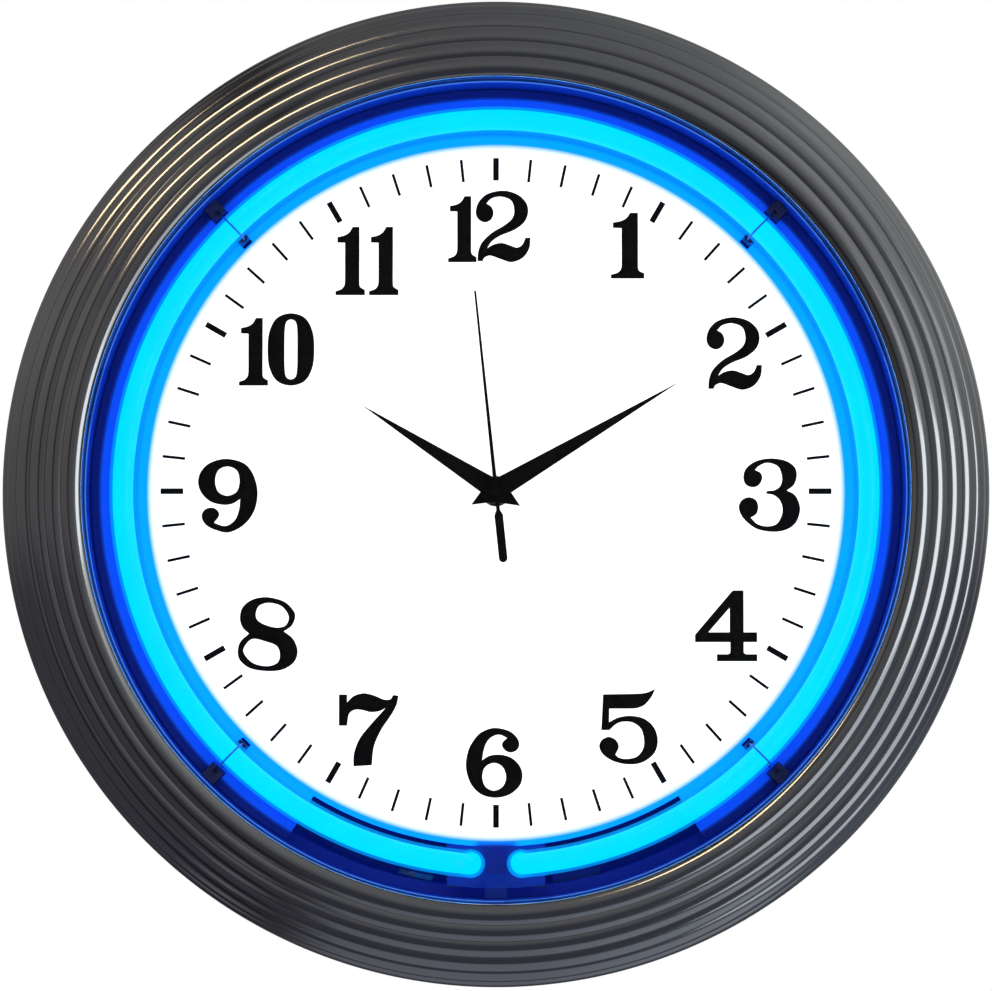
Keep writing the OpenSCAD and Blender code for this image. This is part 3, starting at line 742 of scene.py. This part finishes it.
FIGURES = {
    "0": (18.0, [
        [(9, 28), (14.4, 26.2), (17.3, 21), (18, 14), (17.3, 7), (14.4, 1.8), (9, 0),
         (3.6, 1.8), (0.7, 7), (0, 14), (0.7, 21), (3.6, 26.2)],
        [(9, 25.6), (7.2, 24.6), (6.6, 21.5), (6.5, 14), (6.6, 6.5), (7.2, 3.4), (9, 2.4),
         (10.8, 3.4), (11.4, 6.5), (11.5, 14), (11.4, 21.5), (10.8, 24.6)]]),
    "1": (11.2, [
        [C(6.5, 26.2), C(9.1, 26.2), (9.1, 16), (9.1, 5), (9.4, 3.2), C(11.2, 2.0), C(11.2, 0),
         C(0, 0), C(0, 1.5),
         (2.2, 2.3), (3.3, 3.6), (3.6, 5.6), (3.6, 14), C(3.6, 20.1), C(0.7, 20.2), C(0.7, 22.3),
         (3.3, 22.9), (5.2, 24.1)]]),
    "2": (21.6, [
        [(10.7, 28.4), (16.3, 27.0), (19.8, 23.8), (20.7, 20.0), (19.4, 16.2), (15.6, 13.0),
         (9.9, 10.6), (6.3, 8.2),
         C(4.5, 5.5), (7.0, 7.0), (10.4, 7.6), (13.7, 6.6), (16.3, 5.8), (18.4, 7.0), C(19.6, 9.7),
         C(21.6, 9.7),
         (21.1, 5.4), (18.5, 1.7), (14.2, 0.0), (10.4, 1.0), (5.8, 2.6), (3.6, 1.9), C(2.7, 0.4),
         C(0.7, 0.4),
         (1.0, 4.3), (2.6, 8.0), (6.3, 11.6), (11.4, 14.7), (14.4, 17.4), (15.2, 20.5), (14.0, 24.4),
         (10.1, 26.0),
         (6.3, 25.3), C(4.2, 23.3), (6.2, 21.9), (7.0, 19.4), (6.0, 16.9), (3.6, 15.8), (1.0, 17.1),
         (0.0, 19.8),
         (1.1, 23.8), (4.6, 27.1)]]),
    "3": (23.7, [
        [(12.3, 28.5), (18.2, 27.6), (21.7, 25.1), (22.5, 21.8), (21.4, 18.3), C(18.6, 16.0),
         (21.5, 14.5),
         (23.2, 11.6), (23.7, 8.2), (22.1, 3.6), (18.3, 0.8), (12.9, 0.0), (6.6, 1.3), (1.8, 5.2),
         (0.0, 9.0),
         (0.9, 12.0), (3.7, 13.4), (6.5, 12.4), (7.5, 9.8), (6.8, 7.0), C(4.6, 5.5), (7.2, 3.0),
         (10.9, 2.1),
         (14.5, 3.0), (16.5, 6.1), (16.9, 9.2), (15.9, 12.2), (13.6, 14.2), (10.9, 14.8),
         (10.6, 15.4), (11.4, 15.9),
         (14.0, 16.2), (16.2, 18.0), (16.8, 21.2), (15.3, 25.3), (11.2, 26.8), (7.9, 25.6), C(6.3, 24.0),
         (8.4, 22.9), (9.1, 20.9), (7.9, 18.3), (5.4, 17.3), (2.7, 18.4), (1.8, 21.4), (3.0, 24.8),
         (6.9, 27.5)]]),
    "4": (24.0, [
        [C(14.6, 27.4), C(18.8, 27.4), C(18.8, 11.2), C(24.0, 11.2), C(24.0, 7.4), C(18.8, 7.4),
         C(18.8, 4.0),
         (19.0, 3.1), C(19.8, 2.7), C(24.0, 2.7), C(24.0, 0), C(8.4, 0), C(8.4, 2.7), C(12.6, 2.7),
         (13.4, 3.1),
         C(13.6, 4.0), C(13.6, 7.4), C(0, 7.4), C(0, 10.3)],
        [C(13.4, 20.7), C(13.4, 11.2), C(5.1, 11.2)]]),
    "5": (22.6, [
        [C(1.5, 27.0), (7.0, 27.1), (13.3, 27.2), (18.0, 27.6), C(21.7, 29.1), (20.1, 25.9), (17.5, 22.9),
         (14.6, 21.7), (12.0, 21.5), C(3.9, 21.5), C(3.8, 16.3), (7.5, 18.1), (12.2, 18.7), (17.4, 17.6),
         (21.2, 14.2), (22.6, 9.2), (21.3, 4.4), (16.9, 0.9), (11.6, 0.0), (5.8, 1.1), (1.6, 3.7),
         (0.0, 6.8),
         (1.0, 9.4), (3.8, 10.6), (6.6, 9.2), (7.5, 6.5), C(6.2, 3.8), (7.6, 2.6), (10.6, 2.1),
         (14.5, 3.0),
         (16.9, 6.0), (17.3, 9.4), (16.2, 13.6), (13.2, 16.0), (9.8, 16.5), (6.8, 15.7),
         C(3.9, 13.2), C(0.8, 13.2)]]),
    "6": (21.7, [
        [(11.7, 26.7), (16.7, 25.5), (19.7, 22.9), (20.5, 20.4), (19.5, 18.2), (17.0, 17.3), (14.6, 18.5),
         (13.9, 20.8), C(15.8, 22.9), (12.6, 24.1), (9.2, 22.7), (7.2, 19.4), C(6.2, 14.3), (8.9, 16.0),
         (12.8, 16.5), (17.2, 15.4), (20.5, 12.4), (21.7, 8.6), (20.6, 4.6), (16.7, 1.2), (11.0, 0.0),
         (5.5, 1.5),
         (1.7, 5.7), (0.0, 12.0), (1.1, 18.6), (4.4, 23.8), (7.8, 26.0)],
        [(6.3, 8.0), (7.4, 11.7), (10.8, 13.3), (14.1, 11.7), (15.4, 7.8), (14.1, 4.3), (10.8, 2.7),
         (7.5, 4.3)]]),
    "7": (22.8, [
        [C(0, 27.4), C(3.1, 27.4), C(3.1, 24.4), (5.6, 26.8), (9.5, 27.9), (13.5, 27.0), (17.2, 25.5),
         (19.6, 25.6),
         C(20.7, 27.2), C(22.8, 27.0), (22.0, 23.4), (20.1, 19.8), (16.1, 13.8), (13.4, 7.5),
         C(12.6, 0.4),
         C(5.6, 0), (5.8, 5.0), (8.0, 10.7), (12.4, 16.2), C(17.8, 22.2), (15.3, 21.0), (12.0, 20.7),
         (8.7, 21.5),
         (5.8, 21.5), (3.8, 19.8), C(3.1, 15.5), C(0, 15.5)]]),
    "8": (23.0, [
        [(11.4, 28.4), (18.0, 26.6), (21.6, 22.9), (22.0, 20.4), (20.6, 17.3), C(17.7, 15.3),
         (21.4, 12.2),
         (23.0, 7.5), (21.6, 3.4), (17.3, 0.6), (11.4, 0.0), (4.8, 1.1), (0.9, 4.1), (0.0, 7.5),
         (1.0, 11.3),
         C(4.3, 14.4), (1.8, 16.8), (0.8, 20.4), (1.8, 24.5), (5.6, 27.5)],
        [(6.9, 22.1), (8.2, 25.1), (12.0, 26.2), (16.8, 24.9), (19.5, 21.1), (18.5, 17.7), (15.0, 16.7),
         (10.2, 17.9), (7.5, 19.7)],
        [(2.2, 7.4), (3.4, 10.6), (6.0, 12.4), (10.6, 11.4), (14.9, 9.7), (16.2, 6.4), (15.2, 3.2),
         (11.1, 1.9),
         (5.6, 3.3)]]),
    "9": (23.0, [
        [(10.9, 28.5), (17.8, 26.7), (21.4, 22.2), (23.0, 15.6), (21.8, 8.5), (17.8, 3.0),
         (11.9, 0.0), (6.4, 1.1),
         (2.9, 3.1), (1.4, 6.1), (2.4, 8.6), (4.9, 9.6), (7.3, 8.8), (8.2, 6.6), C(6.2, 3.7), (10.6, 2.5),
         (14.2, 4.7), (15.8, 8.6), C(16.3, 12.9), (13.2, 11.1), (9.4, 10.7), (4.7, 12.0), (1.3, 15.3),
         (0.0, 19.3),
         (1.1, 23.6), (4.7, 27.0)],
        [(6.6, 19.9), (7.8, 24.0), (11.3, 25.5), (14.9, 24.0), (16.0, 19.9), (14.9, 15.8), (11.3, 14.2),
         (7.8, 15.8)]]),
}

# each hour's text, the middle of its figures on the face, their height and the gap between them, in mm
HOURS = [
    ("12", -2.6, 102.9, 27.9, -0.3), ("1", 51.0, 95.4, 25.6, 0.0), ("2", 92.2, 53.4, 28.2, 0.0),
    ("3", 105.6, -1.5, 28.4, 0.0), ("4", 88.7, -52.0, 27.3, 0.0), ("5", 51.0, -90.8, 29.0, 0.0),
    ("6", -0.7, -104.7, 26.8, 0.0), ("7", -49.0, -92.0, 28.1, 0.0), ("8", -88.0, -55.2, 28.5, 0.0),
    ("9", -103.6, -1.7, 28.5, 0.0), ("10", -84.9, 55.0, 28.1, -0.2), ("11", -50.0, 89.4, 26.6, 1.6),
]


def smooth_outline(points, steps=7):
    """A closed line through the points, rounded between corners."""
    made = []
    count = len(points)
    for i in range(count):
        before, here = points[i - 1], points[i]
        after, beyond = points[(i + 1) % count], points[(i + 2) % count]
        p1, p2 = Vector(here[:2]), Vector(after[:2])
        chord = p2 - p1
        start = chord if len(here) > 2 else (p2 - Vector(before[:2])) / 2
        end = chord if len(after) > 2 else (Vector(beyond[:2]) - p1) / 2
        for tangent in (start, end):
            if tangent.length > chord.length:
                tangent *= chord.length / tangent.length
        if len(here) > 2 and len(after) > 2:
            made.append(p1)
            continue
        for k in range(steps):
            t = k / steps
            made.append(
                p1 * (2 * t**3 - 3 * t**2 + 1) + start * (t**3 - 2 * t**2 + t)
                + p2 * (-2 * t**3 + 3 * t**2) + end * (t**3 - t**2)
            )
    return made


def numeral(name, text, x, y, height, gap):
    """One hour's figures as flat print on the dial."""
    curve = bpy.data.curves.new(name, "CURVE")
    curve.dimensions = "2D"
    curve.fill_mode = "BOTH"
    curve.extrude = PRINT_T / 2
    wide = 1.18 if text == "1" else 1.0
    loops, pen = [], 0.0
    tall = max(p[1] for p in FIGURES[text[-1]][1][0])
    for letter in text:
        width, outlines = FIGURES[letter]
        for outline in outlines:
            loops.append([Vector((p.x * wide + pen, p.y)) for p in smooth_outline(outline)])
        pen += width * wide + gap
    pen -= gap
    scale = height / tall
    for loop in loops:
        spline = curve.splines.new("POLY")
        spline.points.add(len(loop) - 1)
        for point, p in zip(spline.points, loop):
            point.co = ((p.x - pen / 2) * scale, (p.y - tall / 2) * scale, 0.0, 1.0)
        spline.use_cyclic_u = True
    shape = bpy.data.objects.new(name + "_outline", curve)
    bpy.context.scene.collection.objects.link(shape)
    bpy.context.view_layer.update()
    graph = bpy.context.evaluated_depsgraph_get()
    mesh = bpy.data.meshes.new_from_object(shape.evaluated_get(graph))
    bpy.data.objects.remove(shape)
    upright = Matrix.Rotation(math.radians(90), 4, "X")
    to_face = Matrix.Translation(face(x, y, DIAL_Z + PRINT_T / 2)) @ upright
    mesh.transform(to_face @ Matrix.Scale(MM, 4))
    return add_object(name, mesh, FINISH["print_black"])


# ---------------------------------------------------------------- studio
def ramp(tree, value, stops):
    """Colours blended softly along a value from 0 to 1."""
    node = tree.nodes.new("ShaderNodeValToRGB")
    node.color_ramp.interpolation = "EASE"
    elements = node.color_ramp.elements
    while len(elements) < len(stops):
        elements.new(0.5)
    for element, (position, colour) in zip(elements, stops):
        element.position = position
        element.color = (*colour, 1.0)
    tree.links.new(value, node.inputs["Fac"])
    return node.outputs["Color"]


def tint(tree, a, b):
    """One colour multiplied by another."""
    m = tree.nodes.new("ShaderNodeMix")
    m.data_type = "RGBA"
    m.blend_type = "MULTIPLY"
    m.inputs["Factor"].default_value = 1.0
    for socket, value in zip([s for s in m.inputs if s.type == "RGBA"], (a, b)):
        tree.links.new(value, socket)
    return [s for s in m.outputs if s.type == "RGBA"][0]


def world_light():
    """White to the camera, soft light on matt surfaces, and a grey room in reflections."""
    world = bpy.data.worlds.new("studio")
    bpy.context.scene.world = world
    world.use_nodes = True
    tree = world.node_tree
    tree.nodes.clear()
    out = tree.nodes.new("ShaderNodeOutputWorld")
    path = tree.nodes.new("ShaderNodeLightPath")
    seen = tree.nodes.new("ShaderNodeBackground")
    seen.inputs["Color"].default_value = (1, 1, 1, 1)
    soft = tree.nodes.new("ShaderNodeBackground")
    soft.inputs["Color"].default_value = (1.0, 0.99, 0.98, 1)
    soft.inputs["Strength"].default_value = 0.20
    room = tree.nodes.new("ShaderNodeBackground")
    coordinate = tree.nodes.new("ShaderNodeTexCoord")
    parts = tree.nodes.new("ShaderNodeSeparateXYZ")
    tree.links.new(coordinate.outputs["Generated"], parts.inputs["Vector"])
    across = ramp(
        tree, between(tree, parts.outputs["X"], 0.0, 1.0, -1.0, 1.0),
        [(0.0, (0.21, 0.195, 0.19)), (0.18, (0.21, 0.20, 0.195)), (0.27, (0.05, 0.046, 0.046)),
         (0.34, (0.18, 0.175, 0.175)), (0.52, (0.19, 0.19, 0.195)), (0.68, (0.26, 0.265, 0.26)),
         (0.84, (0.42, 0.43, 0.42)), (1.0, (0.28, 0.29, 0.285))],
    )
    height = ramp(
        tree, between(tree, parts.outputs["Z"], 0.0, 1.0, -1.0, 1.0),
        [(0.0, (1.25, 1.32, 1.50)), (0.08, (1.25, 1.32, 1.50)), (0.15, (0.36, 0.38, 0.46)),
         (0.42, (0.40, 0.41, 0.48)), (0.52, (0.78, 0.78, 0.80)), (0.68, (1.05, 1.05, 1.05)),
         (1.0, (0.92, 0.92, 0.92))],
    )
    room_colour = tint(tree, across, height)
    tree.links.new(room_colour, room.inputs["Color"])
    mirrored = tree.nodes.new("ShaderNodeMixShader")
    tree.links.new(path.outputs["Is Glossy Ray"], mirrored.inputs["Fac"])
    tree.links.new(soft.outputs["Background"], mirrored.inputs[1])
    tree.links.new(room.outputs["Background"], mirrored.inputs[2])
    final = tree.nodes.new("ShaderNodeMixShader")
    tree.links.new(path.outputs["Is Camera Ray"], final.inputs["Fac"])
    tree.links.new(mirrored.outputs["Shader"], final.inputs[1])
    tree.links.new(seen.outputs["Background"], final.inputs[2])
    tree.links.new(final.outputs["Shader"], out.inputs["Surface"])


def panel_light(name, centre, size, colour, power, aim=(0, 0, 0)):
    """A rectangular softbox that faces the clock."""
    data = bpy.data.lights.new(name, "AREA")
    data.shape = "RECTANGLE"
    data.size, data.size_y = size
    data.color = colour
    data.energy = power
    obj = bpy.data.objects.new(name, data)
    obj.location = centre
    direction = Vector(aim) - Vector(centre)
    obj.rotation_euler = direction.to_track_quat("-Z", "Y").to_euler()
    bpy.context.scene.collection.objects.link(obj)
    obj.visible_camera = False
    return obj


def studio():
    world_light()
    for name, height, tall, power in (
        ("window_right", -0.015, 0.57, 2.6),
        ("window_right_low", -0.90, 1.20, 2.6),
        ("window_right_high", 0.425, 0.31, 0.3),
    ):
        centre = (1.02, -1.30, height)
        panel_light(name, centre, (0.8, tall), (0.95, 0.99, 1.0), power, (0.0, 0.0, height))
    panel_light("warm_line", (-0.80, -1.10, 0.95), (1.25, 0.16), (1.0, 0.76, 0.44), 3.4)
    front = panel_light("front_soft", (0.3, -2.6, 1.8), (1.6, 1.2), (1.0, 0.99, 0.97), 8)
    over = panel_light("over_soft", (0.0, 0.2, 2.4), (2.2, 2.2), (1.0, 1.0, 1.0), 60, (0.0, 0.2, 0.0))
    back = panel_light("back_soft", (0.6, 2.2, 1.2), (1.6, 1.6), (1.0, 0.99, 0.97), 45)
    for panel in (front, over, back):
        panel.visible_glossy = False
    mesh = bpy.data.meshes.new("floor")
    half, level = 1.0, CAD_BOX[0][2] - FLOOR_GAP
    mesh.from_pydata(
        [(-half, -half, level), (half, -half, level), (half, half, level), (-half, half, level)],
        [], [(0, 1, 2, 3)]
    )
    floor = bpy.data.objects.new("floor", mesh)
    bpy.context.scene.collection.objects.link(floor)
    paint = surface(
        "floor_paint", (0.80, 0.80, 0.79), (0.76, 0.76, 0.75), (0.6, 0.75), patch=3.0, grain=60.0
    )
    mesh.materials.append(paint)
    floor.visible_glossy = False


def camera():
    """Straight at the dial, from a little below."""
    elevation = math.radians(-3.5)
    distance, wide = 1.6, 0.3850
    aim = Vector((0.0000, -0.0585, -0.0012))
    data = bpy.data.cameras.new("camera")
    data.sensor_width = 36.0
    data.lens = 36.0 * distance / wide
    data.clip_start = 0.05
    obj = bpy.data.objects.new("camera", data)
    away = Vector((0.0, -math.cos(elevation), math.sin(elevation)))
    obj.location = aim + away * distance
    obj.rotation_euler = (-away).to_track_quat("-Z", "Y").to_euler()
    bpy.context.scene.collection.objects.link(obj)
    bpy.context.scene.camera = obj


# ---------------------------------------------------------------- build
bpy.context.scene.view_settings.view_transform = "Standard"
dress_nodes()
ribbed_rim()
gas_column()
for hour in HOURS:
    numeral("numeral_" + hour[0], *hour)
studio()
camera()
